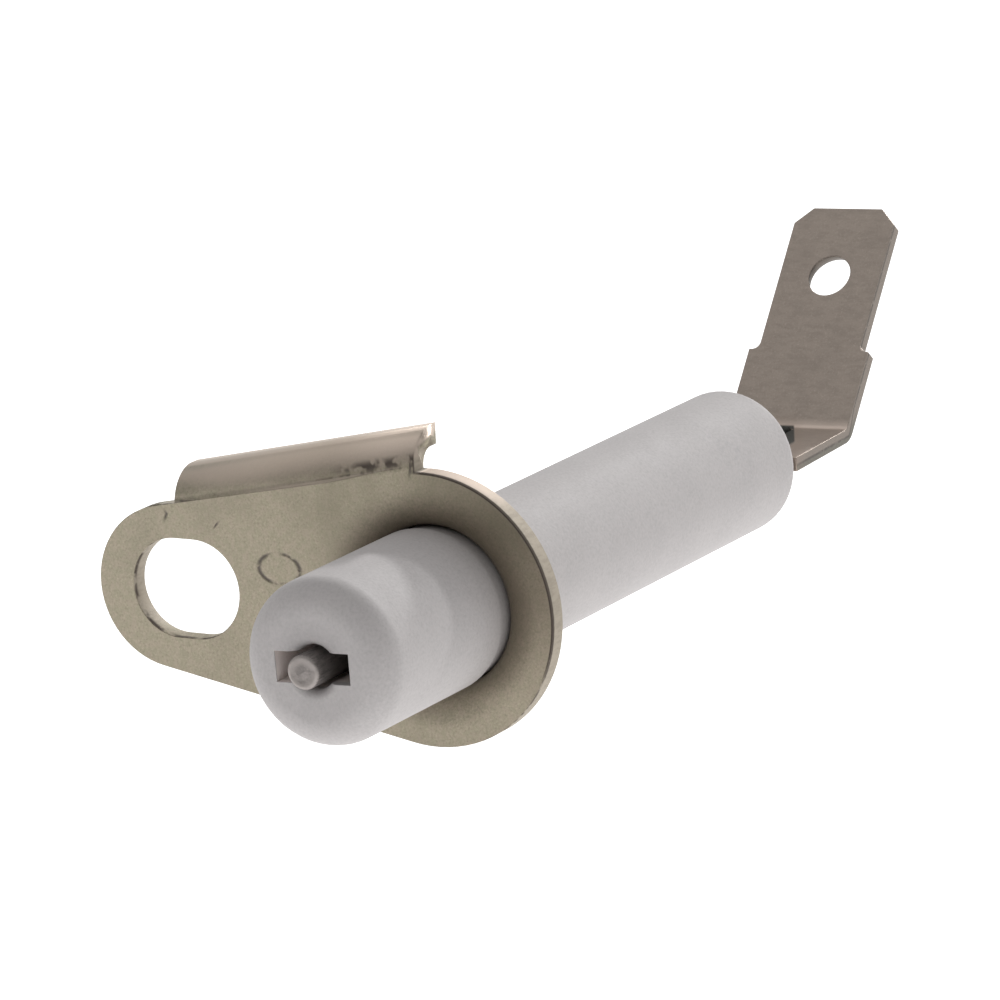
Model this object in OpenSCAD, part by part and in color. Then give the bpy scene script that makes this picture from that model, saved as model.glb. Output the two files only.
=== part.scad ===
// Ignition electrode for a gas burner: a ceramic body in a sheet-metal bracket, with an
// electrode rod through it and a leaning push-on terminal at the back.
// Millimetres. +X runs along the ceramic from the burner side to the terminal, +Y points
// to the bracket's fixing slot and +Z is up. The origin is on the ceramic's axis, in the
// plane of the bracket's front face, which is the face that sits on the burner.

/* [Ceramic] */
// Diameter of the front section, on the burner side
nose_d = 8.7; // [8.3:0.1:8.8]
// How far the front section stands out of the bracket's front face
nose_l = 11.6; // [6:0.1:30]
// Rounding of the front edge
nose_round = 1.7; // [0.3:0.1:2]
// Diameter of the seat in the collar, a little under the front section
seat_d = 8.35; // [8.2:0.05:8.4]
// Diameter of the rear section
rear_d = 8.0; // [7.7:0.1:8.6]
// Distance from the bracket's front face to the rear end
rear_l = 33.9; // [33:0.1:35]
// Rounding of the rear edge
rear_round = 0.85; // [0.3:0.05:1.2]
// Bore for the rod
bore_d = 2.3; // [2.1:0.1:2.6]
// Long side of the flat keyway that runs through the body with the bore
key_w = 4.25; // [3.8:0.05:4.6]
// Short side of the keyway
key_h = 1.6; // [1.5:0.05:1.8]
// Softening of the mouth of the bore
mouth_round = 0.5; // [0.1:0.05:0.5]

/* [Electrode rod] */
// Rod diameter
rod_d = 1.8; // [1.2:0.1:1.8]
// How far the tip stands out of the ceramic
tip_l = 0.95; // [0.5:0.05:12]
// Distance from the bracket's front face to the rod's tail end
rod_tail = 38.6; // [38:0.1:38.6]
// Bevel on both ends of the rod
rod_bevel = 0.12; // [0.05:0.01:0.3]

/* [Bracket] */
// Sheet thickness
sheet_t = 1.1; // [0.8:0.1:1.2]
// Radius of the large end, around the ceramic
big_r = 7.2; // [6.5:0.05:9]
// Radius of the small end, around the fixing slot
small_r = 4.35; // [4.2:0.05:5.5]
// Distance from the ceramic's axis to the centre of the small end
small_y = 15.35; // [14.8:0.05:17]
// Distance from the ceramic's axis to the centre of the fixing slot
slot_y = 14.45; // [14:0.05:15]
// Length of the fixing slot
slot_l = 6.4; // [5.6:0.1:6.6]
// Width of the fixing slot, a close fit on an M5 screw
slot_w = 5.3; // [4.3:0.1:5.5]
// Slope of the stiffening lip against the line of centres, degrees
lip_slope = 11.7; // [9:0.1:12]
// Height of the lip's outer face above the axis, square to its slope
lip_h = 9.15; // [8.6:0.05:9.5]
// Depth of the lip, front face to back edge
lip_d = 2.5; // [2.1:0.1:5]
// Inside radius of the lip's bend
lip_bend = 0.8; // [0.2:0.05:0.8]
// Where the lip starts, on the ceramic's side
lip_start = 0.45; // [0:0.01:1]
// Where the lip ends, on the slot's side
lip_end = 14.85; // [13:0.05:15]

/* [Collar] */
// Entry radius of the drawn collar
entry_r = 1.1; // [0.6:0.1:1.2]
// Gap between the seat and the collar
collar_gap = 0.1; // [0.05:0.01:0.2]
// Wall of the collar, thinned by drawing
collar_t = 0.85; // [0.6:0.05:0.9]
// Back edge of the collar, from the bracket's front face
collar_l = 3.6; // [3.4:0.05:4]
// Width of the rolled-in edge that locks the ceramic
roll_w = 0.75; // [0.5:0.05:0.8]
// Depth of the groove that the rolled-in edge sits in, below the rear section
groove_d = 0.5; // [0.4:0.05:0.6]

/* [Terminal] */
// Tab width, the standard 6.3 mm push-on size
tab_w = 6.3; // [4.8:0.1:6.3]
// Tab thickness
tab_t = 0.8; // [0.7:0.05:0.8]
// Width of the strip and of the shoulder below the tab
strip_w = 7.5; // [7.2:0.1:8]
// Inside corner of the bend, from the bracket's front face
bend_x = 40.4; // [40.4:0.1:44]
// Angle of the bend, degrees
tab_bend = 46.5; // [20:0.5:70]
// Inside radius of the bend
bend_r = 0.5; // [0.3:0.05:0.5]
// Corner of the bend to the tab's shoulder
shoulder_l = 4.95; // [3:0.05:8]
// Corner of the bend to the tab's tip
tip_end = 14.15; // [12:0.05:18]
// Bevel of the tab's two tip corners
tip_bevel = 1; // [0.8:0.1:1.6]
// Hollow at each shoulder
shoulder_r = 0.45; // [0.3:0.05:0.6]
// Diameter of the latching hole
hole_d = 2.5; // [1.6:0.1:2.6]
// Hole centre to the tab's tip
hole_tip = 4.4; // [3.5:0.1:5]
// Gap of the fork that straddles the rod
fork_gap = 1.9; // [1.85:0.05:2]
// Width of the notch at the root of the fork, where the weld sits
notch_w = 1.1; // [0.8:0.05:1.2]
// Outside width of the fork's two legs inside the ceramic
leg_w = 3.9; // [3.4:0.1:3.9]
// How far the legs reach into the ceramic
leg_l = 3; // [1.5:0.1:3]
// Turn of the keyway and the terminal about the ceramic's axis, degrees
clocking = 2.2; // [0:0.1:5]
// Tilt of the strip along the axis, degrees
strip_tilt = 1.5; // [0:0.5:1.5]

/* [Joint and filling] */
// How far the weld bead stands above and below the rod's axis
weld_h = 0.56; // [0.45:0.01:0.7]
// Depth of the sealing cement in the ceramic's rear end
cement_l = 2.6; // [1:0.1:3.5]

/* [Hidden] */
$fn = 96;
nose_r = nose_d / 2;
seat_r = seat_d / 2;
rear_r = rear_d / 2;
groove_r = rear_r - groove_d;
seat_x0 = 0.15;
groove_x0 = collar_l - roll_w - 0.15;
groove_x1 = collar_l + 0.2;
collar_r = seat_r + collar_gap;
tangent = asin((big_r - small_r) / small_y);
strip_top = tab_t / 2 - 0.07;
bend_cut = bend_r * tan(tab_bend / 2);
strip_l = bend_x - rear_l - 0.2;
notch_end = bend_x - 0.27;
fit_gap = 0.02;
eps = 0.01;

// Turns a body of revolution drawn along +Z so that it runs along +X.
module along_x() {
    rotate([0, 90, 0]) children();
}

// The bore and keyway as one outline, in the plane across the axis.
module keyed_outline(grow) {
    circle(d = bore_d + 2 * grow);
    square([key_h + 2 * grow, key_w + 2 * grow], center = true);
}

// Half section of the ceramic: radius across, distance along the axis upwards.
module ceramic_section() {
    // front section with its rounded edge
    translate([0, -nose_l + nose_round])
        square([nose_r, nose_l - nose_round - seat_x0]);
    // seat inside the collar
    translate([0, -seat_x0 - eps])
        square([seat_r, seat_x0 + groove_x0 + eps]);
    translate([0, -nose_l])
        square([nose_r - nose_round, nose_round + eps]);
    translate([nose_r - nose_round, -nose_l + nose_round])
        circle(nose_round);
    // groove for the rolled collar edge
    translate([0, groove_x0 - eps])
        square([groove_r, groove_x1 - groove_x0 + 2 * eps]);
    // rear section with its rounded edge
    translate([0, groove_x1])
        square([rear_r, rear_l - rear_round - groove_x1]);
    translate([0, rear_l - rear_round - eps])
        square([rear_r - rear_round, rear_round + eps]);
    translate([rear_r - rear_round, rear_l - rear_round])
        circle(rear_round);
}

module ceramic_insulator() {
    color([0.86, 0.85, 0.86])
    difference() {
        along_x() rotate_extrude() ceramic_section();
        // bore and keyway, right through
        translate([-nose_l - 1, 0, 0]) rotate([-clocking, 0, 0]) along_x()
            linear_extrude(nose_l + rear_l + 2) keyed_outline(0);
        // softened mouth of the bore
        translate([-nose_l, 0, 0]) along_x() rotate_extrude()
            difference() {
                translate([0, -1]) square([bore_d / 2 + mouth_round, 1 + mouth_round]);
                translate([bore_d / 2 + mouth_round, mouth_round]) circle(mouth_round);
            }
    }
}

// Outline of the bracket plate: two round ends joined by straight flanks.
module plate_outline() {
    s = sin(tangent);
    c = cos(tangent);
    circle(big_r);
    translate([small_y, 0]) circle(small_r);
    polygon([
        [big_r * s, big_r * c], [small_y + small_r * s, small_r * c],
        [small_y + small_r * s, -small_r * c], [big_r * s, -big_r * c]
    ]);
}

// The fixing slot, with round ends and flats along +Y.
module slot_outline() {
    for (side = [-1, 1])
        translate([slot_y + side * (slot_l - slot_w) / 2, 0]) circle(d = slot_w);
    translate([slot_y, 0]) square([slot_l - slot_w, slot_w], center = true);
}

// Section of the lip: plate, bend and flange, x across and height upwards.
module lip_section() {
    outer = lip_bend + sheet_t;
    translate([0, big_r - 3]) square([sheet_t, lip_h - outer - big_r + 3 + eps]);
    translate([outer, lip_h - outer])
        intersection() {
            difference() {
                circle(outer);
                circle(lip_bend);
            }
            translate([-outer, 0]) square([outer + eps, outer]);
        }
    translate([outer, lip_h - sheet_t]) square([lip_d - outer, sheet_t]);
}

// Half section of the drawn collar: radius across, distance along the axis upwards.
module collar_section() {
    intersection() {
        translate([collar_r, 0]) square([entry_r, entry_r]);
        translate([collar_r + entry_r, entry_r]) circle(entry_r);
    }
    translate([collar_r + entry_r - eps, 0]) square([0.5, sheet_t]);
    translate([collar_r, entry_r - eps]) square([collar_t, collar_l - entry_r - 0.4 + eps]);
    translate([groove_r + 0.15, collar_l - roll_w])
        square([collar_r + collar_t - 0.4 - groove_r - 0.15, roll_w]);
    translate([collar_r + collar_t - 0.4, collar_l - 0.4]) circle(0.4);
}

module mounting_bracket() {
    color([0.62, 0.60, 0.52]) {
        difference() {
            union() {
                rotate([90, 0, 90]) linear_extrude(sheet_t) plate_outline();
                intersection() {
                    rotate([-lip_slope, 0, 0]) translate([0, 25, 0]) rotate([90, 0, 0])
                        linear_extrude(35) lip_section();
                    translate([-1, lip_start, 0]) cube([lip_d + 2, lip_end - lip_start, 12]);
                }
            }
            translate([-1, 0, 0]) rotate([90, 0, 90]) linear_extrude(sheet_t + 2) slot_outline();
            translate([-1, 0, 0]) along_x() cylinder(r = collar_r + entry_r, h = sheet_t + 2);
        }
        along_x() rotate_extrude() collar_section();
    }
}

module electrode_rod() {
    color([0.48, 0.46, 0.43])
    translate([-nose_l - tip_l, 0, 0]) along_x() {
        whole = nose_l + tip_l + rod_tail;
        cylinder(r1 = rod_d / 2 - rod_bevel, r2 = rod_d / 2, h = rod_bevel);
        translate([0, 0, rod_bevel]) cylinder(d = rod_d, h = whole - 2 * rod_bevel);
        translate([0, 0, whole - rod_bevel])
            cylinder(r1 = rod_d / 2, r2 = rod_d / 2 - rod_bevel, h = rod_bevel);
    }
}

// Outline of the tab above the bend: along +X from the bend's corner, across +Y.
module tab_outline() {
    difference() {
        union() {
            translate([bend_cut - eps, -strip_w / 2]) square([shoulder_l - bend_cut + eps, strip_w]);
            translate([shoulder_l - 0.2, -tab_w / 2 - shoulder_r])
                square([shoulder_r + 0.2, tab_w + 2 * shoulder_r]);
            polygon([
                [shoulder_l - 1, -tab_w / 2], [tip_end - tip_bevel, -tab_w / 2],
                [tip_end, -tab_w / 2 + tip_bevel], [tip_end, tab_w / 2 - tip_bevel],
                [tip_end - tip_bevel, tab_w / 2], [shoulder_l - 1, tab_w / 2]
            ]);
        }
        for (side = [-1, 1])
            translate([shoulder_l + shoulder_r, side * (tab_w / 2 + shoulder_r)])
                circle(shoulder_r);
        translate([tip_end - hole_tip, 0]) circle(d = hole_d);
    }
}

// Puts the terminal's own frame, with the bend's corner at the origin, in its place.
module terminal_place() {
    translate([bend_x, 0, 0]) rotate([-clocking, 0, 0]) rotate([0, -strip_tilt, 0])
        children();
}

// The two legs in the ceramic with the gap for the rod left out.
module fork_legs(grow) {
    for (side = [-1, 1])
        translate([-strip_l - 0.2 - leg_l, side * (leg_w + fork_gap) / 4, strip_top - tab_t / 2])
            translate([-grow, -(leg_w - fork_gap) / 4 - grow, -tab_t / 2 - grow])
                cube([leg_l + 0.7 + grow, (leg_w - fork_gap) / 2 + 2 * grow, tab_t + 2 * grow]);
}

module terminal_tab() {
    color([0.54, 0.51, 0.47])
    terminal_place() {
        difference() {
            translate([-strip_l, -strip_w / 2, strip_top - tab_t])
                cube([strip_l - bend_cut + eps, strip_w, tab_t]);
            // gap that straddles the rod, then the notch for the weld
            translate([-strip_l - 1, -fork_gap / 2, -2])
                cube([rod_tail + 0.06 - bend_x + strip_l + 1, fork_gap, 4]);
            translate([rod_tail - bend_x, -notch_w / 2, -2])
                cube([notch_end - rod_tail, notch_w, 4]);
        }
        fork_legs(0);
        translate([-bend_cut, 0, strip_top + bend_r]) rotate([0, 90, 0]) rotate([90, 0, 0])
            rotate_extrude(angle = tab_bend)
                translate([bend_r, -strip_w / 2]) square([tab_t, strip_w]);
        translate([0, 0, strip_top]) rotate([0, -tab_bend, 0]) translate([0, 0, -tab_t])
            linear_extrude(tab_t) tab_outline();
    }
}

module weld_bead() {
    long = notch_end - rod_tail - 0.06 - 2 * fit_gap;
    wide = notch_w - 2 * fit_gap;
    color([0.16, 0.15, 0.14])
    terminal_place() translate([rod_tail + 0.06 + fit_gap + long / 2 - bend_x, 0, -weld_h])
        linear_extrude(2 * weld_h) {
            square([long - 0.4, wide], center = true);
            square([long, wide - 0.4], center = true);
            for (i = [-1, 1], j = [-1, 1])
                translate([i * (long / 2 - 0.2), j * (wide / 2 - 0.2)]) circle(0.2);
        }
}

module sealing_cement() {
    color([0.74, 0.72, 0.67])
    difference() {
        translate([rear_l - cement_l, 0, 0]) rotate([-clocking, 0, 0]) along_x()
            linear_extrude(cement_l - 0.1) keyed_outline(-fit_gap);
        translate([rear_l - cement_l - 1, 0, 0]) along_x()
            cylinder(d = rod_d + 2 * fit_gap, h = cement_l + 2);
        terminal_place() fork_legs(fit_gap);
    }
}

ceramic_insulator();
mounting_bracket();
electrode_rod();
terminal_tab();
weld_bead();
sealing_cement();
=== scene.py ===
import math

import bmesh
import bpy
from bpy.props import FloatProperty, FloatVectorProperty, IntProperty, PointerProperty
from mathutils import Matrix, Vector, noise


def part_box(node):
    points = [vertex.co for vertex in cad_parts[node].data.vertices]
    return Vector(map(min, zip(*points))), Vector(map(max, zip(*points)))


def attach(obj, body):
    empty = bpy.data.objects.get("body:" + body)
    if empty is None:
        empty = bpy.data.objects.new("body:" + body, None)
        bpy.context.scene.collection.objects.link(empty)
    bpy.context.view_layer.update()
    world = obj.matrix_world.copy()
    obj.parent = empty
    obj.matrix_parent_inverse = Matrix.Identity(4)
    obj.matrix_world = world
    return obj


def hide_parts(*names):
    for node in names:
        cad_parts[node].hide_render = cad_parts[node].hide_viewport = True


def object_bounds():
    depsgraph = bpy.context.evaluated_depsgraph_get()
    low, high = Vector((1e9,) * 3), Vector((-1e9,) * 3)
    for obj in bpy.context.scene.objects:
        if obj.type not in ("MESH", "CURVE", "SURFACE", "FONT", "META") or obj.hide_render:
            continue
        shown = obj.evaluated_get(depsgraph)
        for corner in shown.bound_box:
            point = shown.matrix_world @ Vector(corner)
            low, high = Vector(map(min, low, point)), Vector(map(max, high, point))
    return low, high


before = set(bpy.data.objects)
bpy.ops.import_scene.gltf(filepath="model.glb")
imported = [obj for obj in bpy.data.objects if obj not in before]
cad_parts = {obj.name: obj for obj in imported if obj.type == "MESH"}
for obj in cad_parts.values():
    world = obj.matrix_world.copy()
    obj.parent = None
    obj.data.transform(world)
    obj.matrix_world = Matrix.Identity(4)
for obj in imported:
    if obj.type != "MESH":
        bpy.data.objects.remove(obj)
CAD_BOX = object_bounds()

bl_info = {
    "name": "Ignition electrode",
    "version": (1, 0, 0),
    "blender": (4, 5, 0),
    "location": "3D View > Sidebar > Electrode",
    "description": "Finishes the ceramic, bracket, rod and terminal of an ignition electrode",
    "category": "Object",
}

MM = 0.001

# places on the frame, in metres
COLLAR_RADIUS = 4.275 * MM
ENTRY_RADIUS = 1.1 * MM
HOLE_PLACE = Vector((0.04721, 0.00028, 0.0073))
HOLE_AXIS = Vector((0.7431, -0.0257, -0.6686))
HOLE_RADIUS = 1.25 * MM
HOLE_BACK = 0.2 * MM
LIP_SIDE = 0.3 * MM
LIP_ROOT = 3.9 * MM

# meshes: how near points must be to be one, and how far from flat an edge must be to be sharp
SAME_POINT = 0.002 * MM
ON_SURFACE = 0.01 * MM
NEAR_SURFACE = 0.02 * MM
FLAT = math.radians(0.4)
SHARP = math.radians(30.0)
CERAMIC_SHARP = math.radians(40.0)

# the rod's cut end: depth in millimetres against the share of the radius, and its rough middle
ROD_END = ((0.030, 0.20), (0.035, 0.40), (0.028, 0.55), (0.012, 0.68), (0.000, 0.78),
           (0.004, 0.86), (0.030, 0.93), (0.075, 0.975), (0.140, 1.0))
ROD_CHAMFER = 0.12 * MM
ROUGH_MIDDLE = 0.05 * MM
ROUGH_HEIGHT = 0.03 * MM
ROUGH_SIZE = 0.45 * MM
WELD_SQUARENESS = 0.55
WELD_LUMPS_ACROSS = 2.3

# places that the finishes refer to, in millimetres
MOUTH_X = -11.6
TIP_X = -12.55
SMUDGE_X, SMUDGE_Y = 27.6, -3.3
RIM_RADIUS = 7.2
RING_Y, RING_Z, RING_RADIUS, RING_SQUASH = 8.72, 1.53, 1.22, 2.3
TICK_Y, TICK_Z = 15.36, 3.86
SCRATCH_Y, SCRATCH_Z = 12.38, 3.58
SLIT_Y, SLIT_Z = 0.60, 7.45
BEND_X, STRIP_TOP, TAB_TOP = 40.4, 0.33, 0.34
SCORCH_SLANT = 1.5 / 2.9

# angles of the lip, the terminal's strip and its tab
LIP_TURN = math.radians(11.7)
CLOCKING = math.radians(2.2)
STRIP_TILT = math.radians(1.5)
TAB_LEAN = math.radians(48.0)

# tones of marks and stains, and of painted light and shade
SPECK_GREY = (0.16, 0.15, 0.15)
RUBBED_GREY = (0.33, 0.32, 0.33)
BORE_TINT_AND_PAINTED_LIGHT = (0.78, 0.69, 0.65)
KEYWAY_TINT_AND_PAINTED_LIGHT = (0.92, 0.83, 0.79)
LIP_PINK_AND_PAINTED_LIGHT = (0.56, 0.465, 0.390)
LIP_PAINTED_HIGHLIGHT = (0.82, 0.69, 0.59)
SIDE_PAINTED_SHADE_BROWN = (0.190, 0.150, 0.112)
OLIVE_UNDER_LIP = (0.200, 0.180, 0.125)
COLLAR_PAINTED_SHADE = (0.120, 0.088, 0.062)
PIT_BROWN = (0.12, 0.10, 0.08)
CUT_SIDE_AND_PAINTED_SHADE = (0.225, 0.192, 0.165)
TORN_SIDE = (0.130, 0.132, 0.108)
SIDE_LINE = (0.060, 0.052, 0.045)
STRIP_PAINTED_SHEEN = (0.480, 0.408, 0.356)
BEND_PAINTED_HIGHLIGHT = (0.640, 0.535, 0.465)
HOLE_DARK = (0.075, 0.062, 0.052)
HALO_BROWN = (0.33, 0.24, 0.19)
ROD_PAINTED_SHADE = (0.070, 0.062, 0.058)
FLOOR_DARK = (0.19, 0.19, 0.19)
FLOOR_LIGHT = (0.21, 0.21, 0.21)

# the side that the surroundings are brightest on, and the camera's sensor and clipping
BRIGHT_SIDE = Vector((0.50, 0.18, 0.847))
SENSOR_WIDTH = 36.0
CLIP_NEAR, CLIP_FAR = 0.01, 50.0


# ---------------------------------------------------------------- sizes and finishes


class ElectrodeSizes(bpy.types.PropertyGroup):
    """Edge sizes and small shapes that the frame leaves plain."""

    ceramic_edge: FloatProperty(
        name="Ceramic edge", description="Softening of the edges of the keyway",
        default=0.012 * MM, min=0.0, unit="LENGTH", precision=6)
    sheet_edge: FloatProperty(
        name="Sheet edge", description="Softening of the bracket's cut edges",
        default=0.04 * MM, min=0.0, unit="LENGTH", precision=6)
    terminal_edge: FloatProperty(
        name="Terminal edge", description="Softening of the terminal's cut edges",
        default=0.07 * MM, min=0.0, unit="LENGTH", precision=6)
    flare_reach: FloatProperty(
        name="Flare reach", description="Radius where the drawn collar meets the flat sheet",
        default=6.30 * MM, min=0.0, unit="LENGTH", precision=6)
    hole_breakout: FloatProperty(
        name="Hole break-out", description="How much wider the latching hole is at its back",
        default=0.20 * MM, min=0.0, unit="LENGTH", precision=6)
    rod_radius: FloatProperty(
        name="Rod radius", description="Radius of the electrode rod",
        default=0.9 * MM, min=0.0, unit="LENGTH", precision=6)
    rod_segments: IntProperty(
        name="Rod segments", description="Number of sides of the rod's mesh",
        default=72, min=12)
    weld_lumps: FloatProperty(
        name="Weld lumps", description="How uneven the weld bead is",
        default=0.10 * MM, min=0.0, unit="LENGTH", precision=6)


def finish_colour(name, description, default):
    """A colour that a user would change."""
    return FloatVectorProperty(
        name=name, description=description, default=default, size=3,
        min=0.0, max=1.0, subtype="COLOR")


class ElectrodeFinishes(bpy.types.PropertyGroup):
    """Colours of the finishes."""

    ceramic: finish_colour(
        "Ceramic", "Body of the ceramic", (0.458, 0.435, 0.431))
    ceramic_shade: finish_colour(
        "Ceramic mottling", "Greyer areas of the ceramic", (0.440, 0.418, 0.415))
    plating: finish_colour(
        "Bracket plating", "Dull olive-beige plating", (0.350, 0.308, 0.230))
    plating_green: finish_colour(
        "Plating, greenish", "Greenish speckle of the plating", (0.313, 0.291, 0.209))
    plating_pink: finish_colour(
        "Plating, pinkish", "Pinkish speckle of the plating", (0.386, 0.327, 0.257))
    sheared: finish_colour(
        "Sheared edge", "Bare metal of the cut edges", (0.385, 0.338, 0.272))
    burr: finish_colour(
        "Burr line", "Dark line along the cut edges", (0.050, 0.036, 0.028))
    terminal: finish_colour(
        "Terminal", "Satin brownish plating of the terminal", (0.368, 0.312, 0.269))
    scorch: finish_colour(
        "Scorch", "Heat mark beside the weld", (0.030, 0.034, 0.030))
    rod: finish_colour(
        "Rod", "Dull heat-resisting wire", (0.250, 0.226, 0.214))
    weld: finish_colour(
        "Weld", "Oxidised weld metal", (0.032, 0.034, 0.030))
    cement: finish_colour(
        "Cement", "Sealing cement", (0.560, 0.535, 0.480))


class StudioSettings(bpy.types.PropertyGroup):
    """Floor, lights and camera."""

    floor_height: FloatProperty(
        name="Floor height", description="Height of the floor, under the lowest point",
        default=CAD_BOX[0].z, unit="LENGTH", precision=6)
    floor_size: FloatProperty(
        name="Floor size", description="Side of the floor",
        default=12.0, min=0.1, unit="LENGTH")
    surround: FloatProperty(
        name="Surround", description="Brightness of the surroundings, above and behind the object",
        default=1.12, min=0.0)
    floor_glow: FloatProperty(
        name="Floor glow", description="Light that the white floor gives by itself",
        default=1.30, min=0.0)
    key_strength: FloatProperty(
        name="Key light", description="Strength of the key light",
        default=0.75, min=0.0)
    key_azimuth: FloatProperty(
        name="Key azimuth", description="Direction of the key light round the object",
        default=math.radians(-24.0), subtype="ANGLE")
    key_elevation: FloatProperty(
        name="Key elevation", description="Height of the key light above the horizon",
        default=math.radians(22.0), subtype="ANGLE")
    back_strength: FloatProperty(
        name="Back light", description="Strength of the light behind and above",
        default=1.40, min=0.0)
    back_azimuth: FloatProperty(
        name="Back azimuth", description="Direction of the back light round the object",
        default=math.radians(2.0), subtype="ANGLE")
    back_elevation: FloatProperty(
        name="Back elevation", description="Height of the back light above the horizon",
        default=math.radians(27.0), subtype="ANGLE")
    light_spread: FloatProperty(
        name="Light spread", description="Apparent width of the key and back lights",
        default=math.radians(4.0), subtype="ANGLE")
    camera_place: FloatVectorProperty(
        name="Camera place", description="Where the camera stands",
        default=(-0.29611, -0.17440, 0.08941), size=3, subtype="XYZ", unit="LENGTH")
    camera_azimuth: FloatProperty(
        name="Camera azimuth", description="Side that the camera looks from",
        default=math.radians(29.84), subtype="ANGLE")
    camera_elevation: FloatProperty(
        name="Camera elevation", description="Height that the camera looks from",
        default=math.radians(13.71), subtype="ANGLE")
    camera_roll: FloatProperty(
        name="Camera roll", description="Turn of the camera about its own line of sight",
        default=math.radians(-3.06), subtype="ANGLE")
    camera_lens: FloatProperty(
        name="Lens", description="Focal length, in millimetres on a 36 mm sensor",
        default=251.58, min=1.0)


# ---------------------------------------------------------------- shader maths


class Wire:
    """A socket that can be added, multiplied and compared like a number."""

    def __init__(self, paint, socket):
        self.paint = paint
        self.socket = socket

    def math(self, operation, a, b=0.0):
        node = self.paint.add("ShaderNodeMath", {"operation": operation}, {0: a, 1: b})
        return Wire(self.paint, node.outputs[0])

    def __add__(self, other):
        return self.math("ADD", self, other)

    def __sub__(self, other):
        return self.math("SUBTRACT", self, other)

    def __rsub__(self, other):
        return self.math("SUBTRACT", other, self)

    def __mul__(self, other):
        return self.math("MULTIPLY", self, other)

    __rmul__ = __mul__

    def __abs__(self):
        return self.math("ABSOLUTE", self)

    def root(self):
        return self.math("SQRT", self)

    def largest(self, other):
        return self.math("MAXIMUM", self, other)

    def smallest(self, other):
        return self.math("MINIMUM", self, other)

    def rise(self, low, high):
        """0 below low, 1 above high, and smooth between them."""
        settings = {"interpolation_type": "SMOOTHSTEP", "clamp": True}
        flip = low > high
        node = self.paint.add("ShaderNodeMapRange", settings, {
            "Value": self, "From Min": min(low, high), "From Max": max(low, high),
            "To Min": 1.0 if flip else 0.0, "To Max": 0.0 if flip else 1.0})
        return Wire(self.paint, node.outputs[0])

    def near(self, value, width):
        """1 at value, falling to 0 at width on either side."""
        return abs(self - value).rise(width, 0.0)


class Tree:
    """A node tree that is built up from code."""

    def __init__(self, owner):
        owner.use_nodes = True
        self.tree = owner.node_tree
        self.tree.nodes.clear()

    def add(self, kind, settings=None, sockets=None):
        """Any node: its type, then its settings, then the values or links of its sockets."""
        node = self.tree.nodes.new(kind)
        for key, value in (settings or {}).items():
            setattr(node, key, value)
        for key, value in (sockets or {}).items():
            if isinstance(value, Wire):
                self.tree.links.new(value.socket, node.inputs[key])
            else:
                node.inputs[key].default_value = value
        return node


class Paint(Tree):
    """A material that is built up from nodes."""

    def __init__(self, name, metallic=0.0, specular=0.5):
        self.material = bpy.data.materials.new(name)
        super().__init__(self.material)
        self.shader = self.add("ShaderNodeBsdfPrincipled", {}, {
            "Metallic": metallic, "Specular IOR Level": specular})
        output = self.add("ShaderNodeOutputMaterial")
        self.tree.links.new(self.shader.outputs[0], output.inputs[0])
        place = self.add("ShaderNodeTexCoord").outputs["Object"]
        self.place = self.add(
            "ShaderNodeVectorMath", {"operation": "SCALE"},
            {0: Wire(self, place), "Scale": 1.0 / MM}).outputs[0]
        split = self.add("ShaderNodeSeparateXYZ", {}, {0: Wire(self, self.place)})
        self.x, self.y, self.z = (Wire(self, split.outputs[i]) for i in range(3))
        facing = self.add("ShaderNodeNewGeometry").outputs["Normal"]
        turned = self.add("ShaderNodeSeparateXYZ", {}, {0: Wire(self, facing)})
        self.nx, self.ny, self.nz = (Wire(self, turned.outputs[i]) for i in range(3))

    def radius(self):
        """Distance from the ceramic's axis."""
        return (self.y * self.y + self.z * self.z).root()

    def stretched(self, factors):
        """The place on the surface in millimetres, with each axis scaled."""
        node = self.add("ShaderNodeVectorMath", {"operation": "MULTIPLY"},
                        {0: Wire(self, self.place), 1: factors})
        return node.outputs[0]

    def cloud(self, size, detail=2.0, rough=0.5, stretch=None):
        """Noise with features of about that size in millimetres, around 0.5."""
        where = self.stretched(stretch) if stretch else self.place
        node = self.add("ShaderNodeTexNoise", {"noise_dimensions": "3D"}, {
            "Vector": Wire(self, where), "Scale": 1.0 / size,
            "Detail": detail, "Roughness": rough})
        return Wire(self, node.outputs[0])

    def specks(self, spacing, radius, share):
        """Small round specks: some of the cells of a Voronoi pattern."""
        sockets = {"Vector": Wire(self, self.place), "Scale": 1.0 / spacing}
        node = self.add("ShaderNodeTexVoronoi", {"feature": "F1"}, sockets)
        near = Wire(self, node.outputs["Distance"]).rise(radius / spacing, 0.3 * radius / spacing)
        cell = self.add("ShaderNodeSeparateColor", {}, {0: Wire(self, node.outputs["Color"])})
        return near * Wire(self, cell.outputs[0]).rise(1.0 - share, 1.02 - share)

    def mix(self, share, first, second):
        """A colour between two colours."""
        as_colour = lambda c: c if isinstance(c, Wire) else (*c[:3], 1.0)
        node = self.add("ShaderNodeMix", {"data_type": "RGBA"},
                        {0: share, 6: as_colour(first), 7: as_colour(second)})
        return Wire(self, node.outputs[2])

    def bump(self, height, depth, strength=1.0):
        """Height in millimetres times depth as surface relief."""
        node = self.add("ShaderNodeBump", {}, {
            "Height": height, "Distance": depth * MM, "Strength": strength})
        self.tree.links.new(node.outputs[0], self.shader.inputs["Normal"])

    def use(self, colour, rough=None, metal=None):
        """Links the colour and the other channels, and gives the material."""
        pairs = {"Base Color": colour, "Roughness": rough, "Metallic": metal}
        for socket, wire in pairs.items():
            if wire is not None:
                self.tree.links.new(wire.socket, self.shader.inputs[socket])
        return self.material


# ---------------------------------------------------------------- materials


def tone(colour, factor):
    """The same colour, made lighter or darker."""
    return tuple(min(1.0, channel * factor) for channel in colour)


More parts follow.
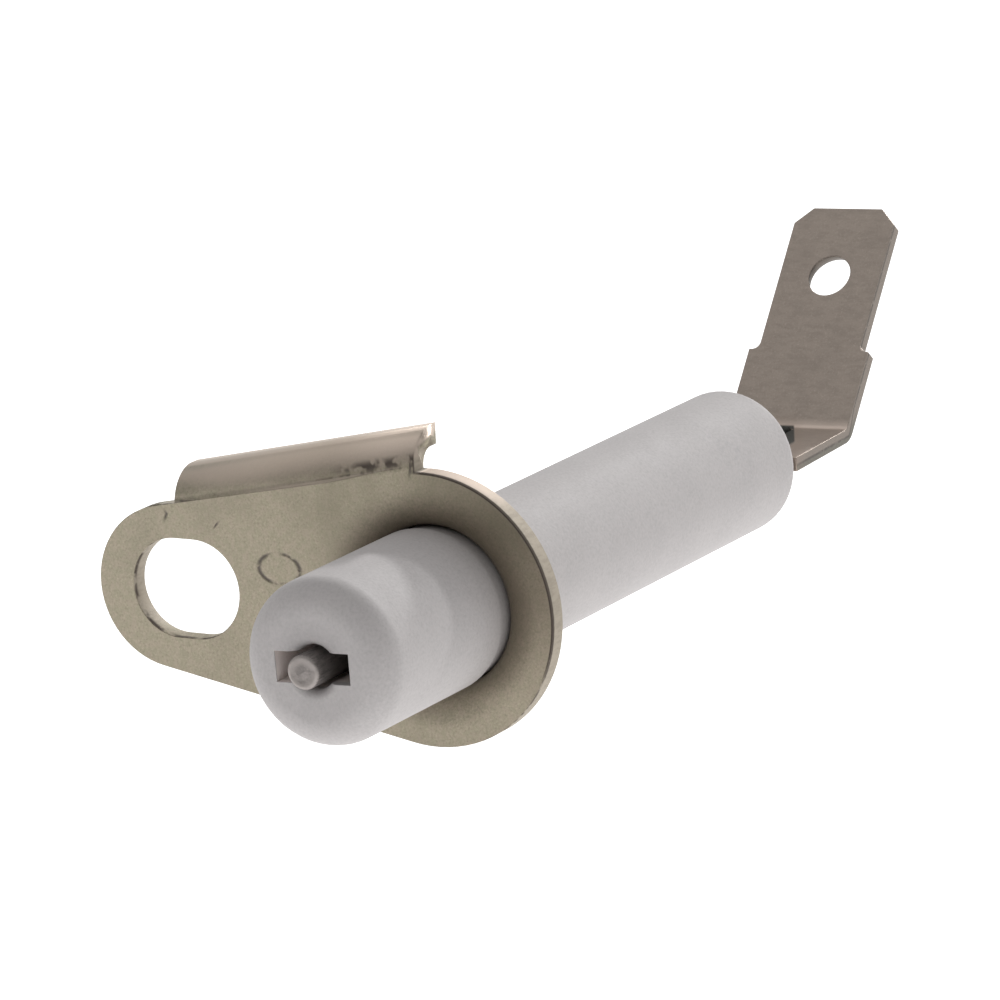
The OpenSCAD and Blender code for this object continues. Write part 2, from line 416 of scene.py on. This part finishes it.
def ceramic_material(finish):
    """Satin white ceramic: fine grain, faint mottling, a few dark specks and a rubbed mark."""
    p = Paint("ceramic", specular=0.40)
    radius = p.radius()
    patches = p.cloud(3.2, 3.0).rise(0.35, 0.70)
    grain = p.cloud(0.16, 2.0, 0.6)
    colour = p.mix(patches, finish.ceramic, finish.ceramic_shade)
    colour = p.mix(grain.rise(0.45, 0.75) * 0.55, colour, tone(finish.ceramic, 1.10))
    colour = p.mix(grain.rise(0.52, 0.25) * 0.45, colour, tone(finish.ceramic, 0.80))
    dots = p.specks(2.6, 0.10, 0.16) * 0.65
    colour = p.mix(dots, colour, SPECK_GREY)
    # rubbed mark on the rear section
    smudge = p.x.near(SMUDGE_X, 2.6) * p.y.near(SMUDGE_Y, 1.6) * p.z.rise(0.0, 2.0)
    rubbed = smudge * p.cloud(0.55, 3.0, 0.6, (0.6, 1.0, 1.0)).rise(0.48, 0.72) * 0.30
    colour = p.mix(rubbed, colour, RUBBED_GREY)
    # walls of the bore and the keyway: a warmer tint, and painted lighter than the outside as
    # painted light
    inside = radius.rise(2.2, 1.7) * p.x.rise(MOUTH_X + 0.3, MOUTH_X + 1.2)
    colour = p.mix(inside * 0.85, colour, BORE_TINT_AND_PAINTED_LIGHT)
    # the keyway's far arm painted paler still, as painted light
    in_keyway = p.y.rise(0.9, 1.5) * abs(p.z).rise(1.0, 0.85) * radius.rise(2.6, 2.4)
    arm = in_keyway * p.x.rise(MOUTH_X + 0.02, MOUTH_X + 0.10)
    colour = p.mix(arm * 0.85, colour, KEYWAY_TINT_AND_PAINTED_LIGHT)
    p.bump(grain * 0.5 + p.cloud(0.6, 2.0) * 0.6 + dots * -0.5, 0.030, 0.5)
    return p.use(colour, p.cloud(1.4, 3.0) * 0.16 + 0.62)


def plating_colour(p, finish, grain, blotch, drift):
    """Speckled plating; a pinker lip, painted lighter on top with a painted highlight towards its
    end; painted shade in brown over the side away from the slot; and a darker olive patch under
    the lip.
    """
    colour = p.mix(blotch.rise(0.40, 0.62), finish.plating_green, finish.plating_pink)
    colour = p.mix(0.45, colour, finish.plating)
    dark = tone(finish.plating, 0.62)
    colour = p.mix(grain.rise(0.50, 0.74) * 0.95, colour, tone(finish.plating, 1.28))
    colour = p.mix(grain.rise(0.50, 0.26) * 0.75, colour, dark)
    colour = p.mix(drift.rise(0.45, 0.70) * 0.22, colour, dark)
    # the lip: a pinker tone, painted lighter on its up-facing top as painted light
    lip = p.nz.rise(0.05, 0.60) * p.z.rise(5.0, 6.0)
    colour = p.mix(lip * 0.75, colour, LIP_PINK_AND_PAINTED_LIGHT)
    # painted highlight on the lip, towards its end
    colour = p.mix(lip * p.y.rise(6.0, 1.5) * 0.50, colour, LIP_PAINTED_HIGHLIGHT)
    # painted shade in brown over the side away from the slot, and a darker olive patch under the
    # lip
    painted_side_shade = p.y.rise(2.5, -4.0) * p.z.rise(-7.0, 1.0) * p.x.rise(0.6, 0.0)
    colour = p.mix(painted_side_shade * 0.45, colour, SIDE_PAINTED_SHADE_BROWN)
    olive = p.y.rise(9.0, 4.0) * p.z.rise(2.0, 5.0) * p.z.rise(7.8, 6.8) * p.x.rise(0.1, 0.0)
    return p.mix(olive * drift.rise(0.25, 0.60) * 0.45, colour, OLIVE_UNDER_LIP)


def burr_line(p, radius, side):
    """Dark line along the front of the cut edges: unbroken on the rim, broken elsewhere."""
    rim_side = p.y.rise(0.8, 0.0) * p.z.rise(-4.5, -1.5)
    broken = p.cloud(0.9, 2.0, 0.6).rise(0.40, 0.54).largest(rim_side)
    across_lip = p.y * math.sin(LIP_TURN) + p.z * math.cos(LIP_TURN)
    bend = across_lip.rise(RIM_RADIUS - 0.2, RIM_RADIUS) * abs(p.ny - 0.2).rise(0.5, 0.3)
    edge_line = p.x.near(0.08, 0.17) * abs(p.nx).rise(0.99, 0.93) * radius.rise(6.4, 6.6)
    slot_line = p.x.near(0.14, 0.26) * side * p.y.rise(10.0, 11.0)
    rim = radius.rise(RIM_RADIUS - 0.11, RIM_RADIUS - 0.07)
    rim_line = rim * p.x.rise(0.24, 0.14) * rim_side
    return (edge_line * (1.0 - bend)).largest(slot_line).largest(rim_line) * broken


def tool_marks(p):
    """Ring-shaped punch mark, tick and scratch on the front, and a bowed slit in the lip."""
    dy, dz = p.y - RING_Y, p.z - RING_Z
    ring = (dy * dy + dz * dz * RING_SQUASH).root().near(RING_RADIUS, 0.21)
    top_gap = (dy - 0.15).near(0.0, 0.75) * dz.rise(0.10, 0.45)
    low_gap = (dy + 0.55).near(0.0, 0.75) * dz.rise(-0.10, -0.45)
    ring = ring * (1.0 - top_gap.largest(low_gap)) * p.cloud(0.5, 1.0).rise(0.34, 0.52)
    tick_bend = abs(p.z - TICK_Z - 0.09) * 0.45
    tick = (p.y - TICK_Y - tick_bend).near(0.0, 0.15) * p.z.near(TICK_Z, 0.45)
    slant = (p.z - SCRATCH_Z) * 0.8
    scratch = (p.y - SCRATCH_Y + slant).near(0.0, 0.11) * p.z.near(SCRATCH_Z, 0.28)
    bow = p.z - SLIT_Z
    slit = (p.y - SLIT_Y - bow * bow * 0.22).near(0.0, 0.13) * bow.near(0.0, 0.75)
    front = p.x.rise(0.05, 0.01)
    return (ring.largest(tick).largest(scratch) * front).largest(slit * p.nx.rise(-0.1, -0.4))


def plating_material(finish):
    """Dull olive-beige plating on sheet steel, with sheared edges, burr lines and tool marks."""
    p = Paint("bracket_steel", metallic=0.55)
    radius = p.radius()
    grain = p.cloud(0.13, 2.5, 0.65)
    blotch = p.cloud(0.42, 3.0, 0.6)
    drift = p.cloud(3.5, 2.0)
    colour = plating_colour(p, finish, grain, blotch, drift)
    # brown painted shade down the drawn collar, beside the ceramic
    collar_painted_shade = radius.rise(6.6, 4.6) * p.x.rise(4.5, 3.0) * (p.z.rise(-6.0, 1.0) * 0.6 + 0.4)
    colour = p.mix(collar_painted_shade * 0.62, colour, COLLAR_PAINTED_SHADE)
    # cut edges: bare sheared metal
    side = abs(p.nx).rise(0.55, 0.30) * p.x.rise(1.4, 1.2) * radius.rise(6.4, 6.6)
    shear = p.cloud(0.22, 2.0, 0.6, (0.35, 1.0, 1.0))
    sheared = p.mix(shear.rise(0.40, 0.68), finish.sheared, tone(finish.sheared, 0.86))
    colour = p.mix(side * p.nz.rise(0.95, 0.7), colour, sheared)
    line = burr_line(p, radius, side)
    colour = p.mix(line * 0.92, colour, finish.burr)
    marks = tool_marks(p)
    colour = p.mix(marks * 0.85, colour, finish.burr)
    pits = p.specks(1.5, 0.09, 0.12) * 0.55
    colour = p.mix(pits, colour, PIT_BROWN)
    p.bump(grain * 0.8 + blotch * 0.9 + drift * 1.5 - marks * 3.0 - pits
           + side * shear * 1.5, 0.020, 0.55)
    rough = grain * 0.22 + 0.36 + collar_painted_shade * 0.15 + side * 0.22 + line * 0.3
    metal = 0.62 - marks.largest(line) * 0.5 - collar_painted_shade * 0.2 - side * 0.25
    return p.use(colour, rough, metal)


def terminal_sides(p, colour, side, depth, along):
    """Cut sides: duller metal, painted darker as painted shade, torn along the underside, with a
    dark broken line.
    """
    # sides painted darker: duller cut metal and painted shade
    colour = p.mix(side * 0.85, colour, CUT_SIDE_AND_PAINTED_SHADE)
    torn = depth.rise(-0.40, -0.52) * side * (1.0 - along.rise(0.6, 1.6))
    colour = p.mix(torn * 0.60, colour, TORN_SIDE)
    line_depth = -0.14 - 0.30 * along.rise(1.2, 0.2)
    broken = p.cloud(0.5, 2.0, 0.6).rise(0.30, 0.46)
    line = (depth - line_depth).near(0.0, 0.12) * side * broken
    return p.mix(line * 0.70, colour, SIDE_LINE)


def hole_wall(p):
    """1 on the wall of the latching hole, 0 elsewhere."""
    offset = [getattr(p, axis) - place / MM for axis, place in zip("xyz", HOLE_PLACE)]
    reach = (offset[0] * offset[0] + offset[1] * offset[1] + offset[2] * offset[2]).root()
    turned = abs(p.nx * HOLE_AXIS.x + p.ny * HOLE_AXIS.y + p.nz * HOLE_AXIS.z)
    return reach.rise(1.75, 1.60) * turned.rise(0.75, 0.55)


def terminal_material(finish):
    """Satin brownish plating with a fine rolling grain, dark lines on the edges and scorch."""
    p = Paint("terminal_metal", metallic=0.8)
    grain = p.cloud(0.14, 2.5, 0.62)
    brush = p.cloud(0.35, 3.0, 0.6, (1.0, 0.35, 1.0))
    drift = p.cloud(2.6, 2.0)
    dark = tone(finish.terminal, 0.70)
    colour = p.mix(brush.rise(0.40, 0.65), finish.terminal, tone(finish.terminal, 0.90))
    colour = p.mix(grain.rise(0.52, 0.78) * 0.60, colour, tone(finish.terminal, 1.30))
    colour = p.mix(grain.rise(0.46, 0.22) * 0.50, colour, dark)
    colour = p.mix(drift.rise(0.45, 0.75) * 0.25, colour, dark)
    # depth under the upper face, on the strip and on the leaning tab
    side = abs(p.ny).rise(0.80, 0.95)
    along, height = p.x - BEND_X, p.z + p.y * math.tan(CLOCKING)
    strip_depth = height * math.cos(STRIP_TILT) - along * math.sin(STRIP_TILT) - STRIP_TOP
    tab_depth = (height - TAB_TOP) * math.cos(TAB_LEAN) - along * math.sin(TAB_LEAN)
    depth = strip_depth.smallest(tab_depth)
    colour = terminal_sides(p, colour, side, depth, along)
    # painted sheen on the strip's upper face and a painted highlight over the inside of the bend
    top = depth.rise(-0.16, -0.06) * p.nz.rise(0.50, 0.60)
    colour = p.mix(top * along.rise(0.10, -0.10) * 0.35, colour, STRIP_PAINTED_SHEEN)
    colour = p.mix(top * along.near(0.02, 0.42) * 0.70, colour, BEND_PAINTED_HIGHLIGHT)
    colour = p.mix(hole_wall(p) * 0.80, colour, HOLE_DARK)
    # scorch on top of the strip, in the lee of the ceramic, with a crisp outer edge
    beyond = (BEND_X - 0.1 - p.x) * SCORCH_SLANT + p.y + 0.50
    scorch = (beyond.rise(-0.06, 0.06) * p.nz.rise(0.6, 0.9)
              * along.rise(0.15, -0.05) * p.y.rise(-2.25, -1.85)
              * (p.y + p.cloud(1.1, 3.0) * 1.4).rise(2.6, 0.9))
    colour = p.mix(scorch * 0.93, colour, finish.scorch)
    halo = beyond.rise(-0.8, 0.0) * along.rise(0.8, -0.2) * (1.0 - scorch)
    colour = p.mix(halo * 0.22, colour, HALO_BROWN)
    p.bump(grain * 0.8 + brush * 0.8 + drift, 0.014, 0.5)
    rough = grain * 0.20 + 0.34 + scorch * 0.3 + side * 0.15
    return p.use(colour, rough, 0.80 - scorch * 0.7 - side * 0.25)


def rod_material(finish):
    """Dull drawn wire; on the cut end a painted highlight on the rim round a darker, uneven
    middle, and painted shade on the shaft behind the end.
    """
    p = Paint("rod_alloy", metallic=0.7)
    radius = p.radius()
    drawn = p.cloud(0.12, 2.0, 0.6, (0.18, 1.0, 1.0))
    grain = p.cloud(0.10, 2.5, 0.65)
    light, dark = tone(finish.rod, 1.12), tone(finish.rod, 0.60)
    colour = p.mix(drawn.rise(0.38, 0.66), finish.rod, dark)
    end = abs(p.nx).rise(0.6, 0.9) * p.x.rise(TIP_X + 0.55, TIP_X + 0.25)
    middle = radius.rise(0.62, 0.30) * p.cloud(0.45, 2.0, 0.6).rise(0.36, 0.60)
    colour = p.mix(end, colour, p.mix(middle * 0.7, light, dark))
    # painted highlight round the rim of the cut end
    rim = radius.near(0.78, 0.14) * p.x.rise(TIP_X + 0.45, TIP_X + 0.20)
    colour = p.mix(rim * 0.5, colour, tone(finish.rod, 1.6))
    # painted shade on the shaft just behind the cut end
    rod_painted_shade = p.x.rise(TIP_X + 0.10, TIP_X + 0.65) * radius.rise(0.80, 0.88)
    colour = p.mix(rod_painted_shade * 0.35, colour, ROD_PAINTED_SHADE)
    colour = p.mix(grain.rise(0.50, 0.75) * 0.4, colour, light)
    p.bump(drawn * 0.8 + grain * 0.8 - end * middle * 1.2, 0.020, 0.6)
    return p.use(colour, grain * 0.2 + 0.38)


def weld_material(finish):
    """Dark oxidised weld with a few brighter crests."""
    p = Paint("weld_metal", metallic=0.5)
    scale = p.cloud(0.18, 3.0, 0.65)
    colour = p.mix(scale.rise(0.50, 0.75), finish.weld, tone(finish.weld, 3.2))
    p.bump(scale * 1.2 + p.cloud(0.45, 2.0), 0.050, 0.8)
    return p.use(colour, scale * 0.3 + 0.45)


def cement_material(finish):
    """Matte cement with sandy grain and small pores."""
    p = Paint("cement", specular=0.25)
    sand = p.cloud(0.12, 3.0, 0.65)
    colour = p.mix(sand.rise(0.40, 0.66), finish.cement, tone(finish.cement, 0.74))
    pores = p.specks(0.55, 0.09, 0.35)
    colour = p.mix(pores * 0.7, colour, tone(finish.cement, 0.35))
    p.bump(sand - pores * 1.2, 0.050, 0.8)
    return p.use(colour, sand * 0.15 + 0.80)


def floor_material(glow):
    """Pale matte floor with a faint drift of tone; it glows a little, so it reads as white."""
    p = Paint("pale_floor", specular=0.0)
    p.shader.inputs["Emission Color"].default_value = (1.0, 1.0, 1.0, 1.0)
    p.shader.inputs["Emission Strength"].default_value = glow
    return p.use(p.mix(p.cloud(40.0, 2.0), FLOOR_DARK, FLOOR_LIGHT))


# ---------------------------------------------------------------- meshes


def clean_copy(node):
    """The frame's solid as a closed mesh of clean faces, ready to have its edges softened."""
    shape = bmesh.new()
    shape.from_mesh(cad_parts[node].data)
    bmesh.ops.remove_doubles(shape, verts=shape.verts, dist=SAME_POINT)
    bmesh.ops.dissolve_limit(shape, angle_limit=FLAT, verts=shape.verts, edges=shape.edges)
    return shape


def soften(shape, width, segments, least=SHARP, test=None):
    """Rounds the edges that are sharper than least and pass the test."""
    edges = [
        e for e in shape.edges
        if e.is_manifold and e.calc_face_angle(0.0) > least and (test is None or test(e))]
    bmesh.ops.bevel(
        shape, geom=edges, offset=width, offset_type="OFFSET", segments=segments,
        profile=0.5, affect="EDGES", clamp_overlap=True)


def finish_piece(shape, name, material, slot, *nodes):
    """Turns a mesh into a piece of the object that stands for the frame's nodes."""
    mesh = bpy.data.meshes.new(name)
    bmesh.ops.recalc_face_normals(shape, faces=shape.faces)
    for face in shape.faces:
        face.smooth = True
    shape.to_mesh(mesh)
    shape.free()
    mesh.materials.append(material)
    piece = bpy.data.objects.new(name, mesh)
    bpy.context.scene.collection.objects.link(piece)
    weighted = piece.modifiers.new("even_shading", "WEIGHTED_NORMAL")
    weighted.keep_sharp = True
    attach(piece, "root")
    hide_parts(*nodes)
    return piece


def revolve(shape, profile, segments):
    """Rings round the X axis through (x, radius) points, closed at both ends."""
    rings = []
    for x, radius in profile:
        ring = []
        for i in range(segments):
            turn = 2 * math.pi * i / segments
            ring.append(shape.verts.new((x, radius * math.cos(turn), radius * math.sin(turn))))
        rings.append(ring)
    for a, b in zip(rings, rings[1:]):
        for i in range(segments):
            j = (i + 1) % segments
            shape.faces.new((a[i], a[j], b[j], b[i]))
    for ring, x in ((rings[0], profile[0][0]), (rings[-1], profile[-1][0])):
        middle = shape.verts.new((x, 0.0, 0.0))
        for i in range(segments):
            shape.faces.new((ring[i], ring[(i + 1) % segments], middle))


# ---------------------------------------------------------------- operators


class PieceOperator(bpy.types.Operator):
    bl_options = {"REGISTER", "UNDO"}

    @property
    def sizes(self):
        return bpy.context.scene.electrode_sizes

    @property
    def finishes(self):
        return bpy.context.scene.electrode_finishes


class MakeCeramic(PieceOperator):
    """Ceramic body with the edges of its keyway softened"""

    bl_idname = "electrode.make_ceramic"
    bl_label = "Ceramic"

    def execute(self, context):
        shape = clean_copy("ceramic_insulator")
        soften(shape, self.sizes.ceramic_edge, 3, CERAMIC_SHARP)
        finish_piece(shape, "ceramic_body", ceramic_material(self.finishes),
                     "ceramic", "ceramic_insulator")
        return {"FINISHED"}


class MakeBracket(PieceOperator):
    """Sheet bracket with softened cut edges"""

    bl_idname = "electrode.make_bracket"
    bl_label = "Bracket"

    def execute(self, context):
        shape = clean_copy("mounting_bracket")
        self.draw_flare(shape)
        soften(shape, self.sizes.sheet_edge, 2, test=self.clear_of_lip)
        finish_piece(shape, "bracket_plate", plating_material(self.finishes),
                     "bracket_steel", "mounting_bracket")
        return {"FINISHED"}

    @staticmethod
    def clear_of_lip(edge):
        """True away from the lip, whose tight bend has no room for a softened edge."""
        middle = (edge.verts[0].co + edge.verts[1].co) / 2
        return middle.z < LIP_ROOT or middle.y < LIP_SIDE

    def draw_flare(self, shape):
        """Widens the rounded mouth of the drawn collar to its soft, elliptical form."""
        wall, entry = COLLAR_RADIUS, ENTRY_RADIUS
        stretch = (self.sizes.flare_reach - wall) / entry
        for vert in shape.verts:
            radius = math.hypot(vert.co.y, vert.co.z)
            off = math.hypot(radius - wall - entry, vert.co.x - entry)
            on_mouth = vert.co.x < entry and radius < wall + entry + ON_SURFACE
            if on_mouth and abs(off - entry) < ON_SURFACE:
                scale = (wall + (radius - wall) * stretch) / radius
                vert.co.y *= scale
                vert.co.z *= scale


class MakeRod(PieceOperator):
    """Electrode rod with an uneven cut end"""

    bl_idname = "electrode.make_rod"
    bl_label = "Electrode rod"

    def execute(self, context):
        low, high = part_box("electrode_rod")
        radius = self.sizes.rod_radius
        profile = [(low.x + depth * MM, share * radius) for depth, share in ROD_END]
        profile.append((high.x - ROD_CHAMFER, radius))
        profile.append((high.x, radius - ROD_CHAMFER))
        shape = bmesh.new()
        revolve(shape, profile, self.sizes.rod_segments)
        for vert in shape.verts:
            if vert.co.x - low.x < ROUGH_MIDDLE:
                seed = Vector((0.0, vert.co.y, vert.co.z)) / ROUGH_SIZE
                vert.co.x += ROUGH_HEIGHT * abs(noise.noise(seed))
        finish_piece(shape, "rod", rod_material(self.finishes), "rod_alloy", "electrode_rod")
        return {"FINISHED"}


class MakeTerminal(PieceOperator):
    """Bent push-on terminal with softened cut edges"""

    bl_idname = "electrode.make_terminal"
    bl_label = "Terminal"

    def execute(self, context):
        shape = clean_copy("terminal_tab")
        self.break_out(shape)
        soften(shape, self.sizes.terminal_edge, 2)
        finish_piece(shape, "push_on_terminal", terminal_material(self.finishes),
                     "terminal_metal", "terminal_tab")
        return {"FINISHED"}

    def break_out(self, shape):
        """Widens the back of the latching hole, where the punch broke through."""
        for vert in shape.verts:
            offset = vert.co - HOLE_PLACE
            depth = offset.dot(HOLE_AXIS)
            outward = offset - depth * HOLE_AXIS
            on_wall = abs(outward.length - HOLE_RADIUS) < NEAR_SURFACE
            if on_wall and depth > HOLE_BACK:
                vert.co += outward.normalized() * self.sizes.hole_breakout


class MakeWeld(PieceOperator):
    """Lumpy weld bead between the rod and the terminal"""

    bl_idname = "electrode.make_weld"
    bl_label = "Weld bead"

    def execute(self, context):
        low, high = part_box("weld_bead")
        centre, half = (low + high) / 2, (high - low) / 2
        shape = bmesh.new()
        bmesh.ops.create_icosphere(shape, subdivisions=4, radius=1.0)
        for vert in shape.verts:
            point = vert.co.copy()
            square = Vector(math.copysign(abs(c) ** WELD_SQUARENESS, c) for c in point)
            lump = 1.0 + self.sizes.weld_lumps / MM * noise.noise(point * WELD_LUMPS_ACROSS)
            vert.co = centre + Vector(s * h * lump for s, h in zip(square, half))
        finish_piece(shape, "weld", weld_material(self.finishes), "weld_metal", "weld_bead")
        return {"FINISHED"}


class MakeCement(PieceOperator):
    """Sealing cement in the ceramic's rear end"""

    bl_idname = "electrode.make_cement"
    bl_label = "Cement"

    def execute(self, context):
        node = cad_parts["sealing_cement"]
        node.data.materials[0] = cement_material(self.finishes)
        return {"FINISHED"}


class MakeStage(bpy.types.Operator):
    """Pale floor, bright surroundings, key and back lights, and camera"""

    bl_idname = "electrode.make_stage"
    bl_label = "Stage"
    bl_options = {"REGISTER", "UNDO"}

    def execute(self, context):
        scene, studio = context.scene, context.scene.electrode_studio
        self.floor(scene, studio)
        self.lights(scene, studio)
        self.camera(scene, studio)
        scene.view_settings.view_transform = "Standard"
        return {"FINISHED"}

    def floor(self, scene, studio):
        shape = bmesh.new()
        bmesh.ops.create_grid(shape, x_segments=1, y_segments=1, size=studio.floor_size / 2)
        bmesh.ops.translate(shape, verts=shape.verts, vec=(0.0, 0.0, studio.floor_height))
        mesh = bpy.data.meshes.new("floor")
        shape.to_mesh(mesh)
        shape.free()
        mesh.materials.append(floor_material(studio.floor_glow))
        floor = bpy.data.objects.new("floor", mesh)
        scene.collection.objects.link(floor)

    def lights(self, scene, studio):
        world = bpy.data.worlds.new("surround")
        tree = Tree(world)
        output = tree.add("ShaderNodeOutputWorld")
        direction = Wire(tree, tree.add("ShaderNodeTexCoord").outputs["Generated"])
        facing = Wire(tree, tree.add(
            "ShaderNodeVectorMath", {"operation": "DOT_PRODUCT"},
            {0: direction, 1: BRIGHT_SIDE}).outputs["Value"])
        level = facing.rise(-0.4, 1.0) * studio.surround
        back = tree.add("ShaderNodeBackground", {}, {"Strength": level})
        tree.tree.links.new(back.outputs[0], output.inputs[0])
        scene.world = world
        self.sun(scene, studio, "key")
        self.sun(scene, studio, "back")

    def sun(self, scene, studio, name):
        """A distant lamp with the strength and direction set for that name."""
        strength, a, e = (getattr(studio, f"{name}_{part}")
                          for part in ("strength", "azimuth", "elevation"))
        light = bpy.data.lights.new(name, "SUN")
        light.energy = strength
        light.angle = studio.light_spread
        lamp = bpy.data.objects.new(name, light)
        towards = Vector((math.cos(e) * math.cos(a), math.cos(e) * math.sin(a), math.sin(e)))
        lamp.rotation_mode = "QUATERNION"
        lamp.rotation_quaternion = towards.to_track_quat("Z", "Y")
        scene.collection.objects.link(lamp)

    def camera(self, scene, studio):
        lens = bpy.data.cameras.new("camera")
        lens.sensor_width = SENSOR_WIDTH
        lens.lens = studio.camera_lens
        lens.clip_start, lens.clip_end = CLIP_NEAR, CLIP_FAR
        camera = bpy.data.objects.new("camera", lens)
        scene.collection.objects.link(camera)
        a, e, roll = studio.camera_azimuth, studio.camera_elevation, studio.camera_roll
        back = Vector((-math.cos(e) * math.cos(a), -math.cos(e) * math.sin(a), math.sin(e)))
        right = (-back).cross(Vector((0.0, 0.0, 1.0))).normalized()
        up = right.cross(-back)
        c, s = math.cos(roll), math.sin(roll)
        side, top = c * right + s * up, c * up - s * right
        turn = Matrix((side, top, back)).transposed()
        camera.matrix_world = Matrix.Translation(studio.camera_place) @ turn.to_4x4()
        scene.camera = camera


PIECES = (MakeCeramic, MakeBracket, MakeRod, MakeTerminal, MakeWeld, MakeCement, MakeStage)


class ElectrodePanel(bpy.types.Panel):
    """Lists the pieces and their settings"""

    bl_idname = "VIEW3D_PT_electrode"
    bl_label = "Ignition electrode"
    bl_space_type = "VIEW_3D"
    bl_region_type = "UI"
    bl_category = "Electrode"

    def draw(self, context):
        column = self.layout.column()
        for piece in PIECES:
            column.operator(piece.bl_idname)
        for group in ("electrode_sizes", "electrode_finishes", "electrode_studio"):
            settings = getattr(context.scene, group)
            box = self.layout.box()
            for name in settings.__annotations__:
                box.prop(settings, name)


GROUPS = {
    "electrode_sizes": ElectrodeSizes,
    "electrode_finishes": ElectrodeFinishes,
    "electrode_studio": StudioSettings,
}
CLASSES = (*GROUPS.values(), *PIECES, ElectrodePanel)


def register():
    for item in CLASSES:
        bpy.utils.register_class(item)
    for name, group in GROUPS.items():
        setattr(bpy.types.Scene, name, PointerProperty(type=group))


def unregister():
    for name in GROUPS:
        delattr(bpy.types.Scene, name)
    for item in reversed(CLASSES):
        bpy.utils.unregister_class(item)


def main():
    register()
    for piece in PIECES:
        group, name = piece.bl_idname.split(".")
        getattr(getattr(bpy.ops, group), name)()


if __name__ == "__main__":
    main()
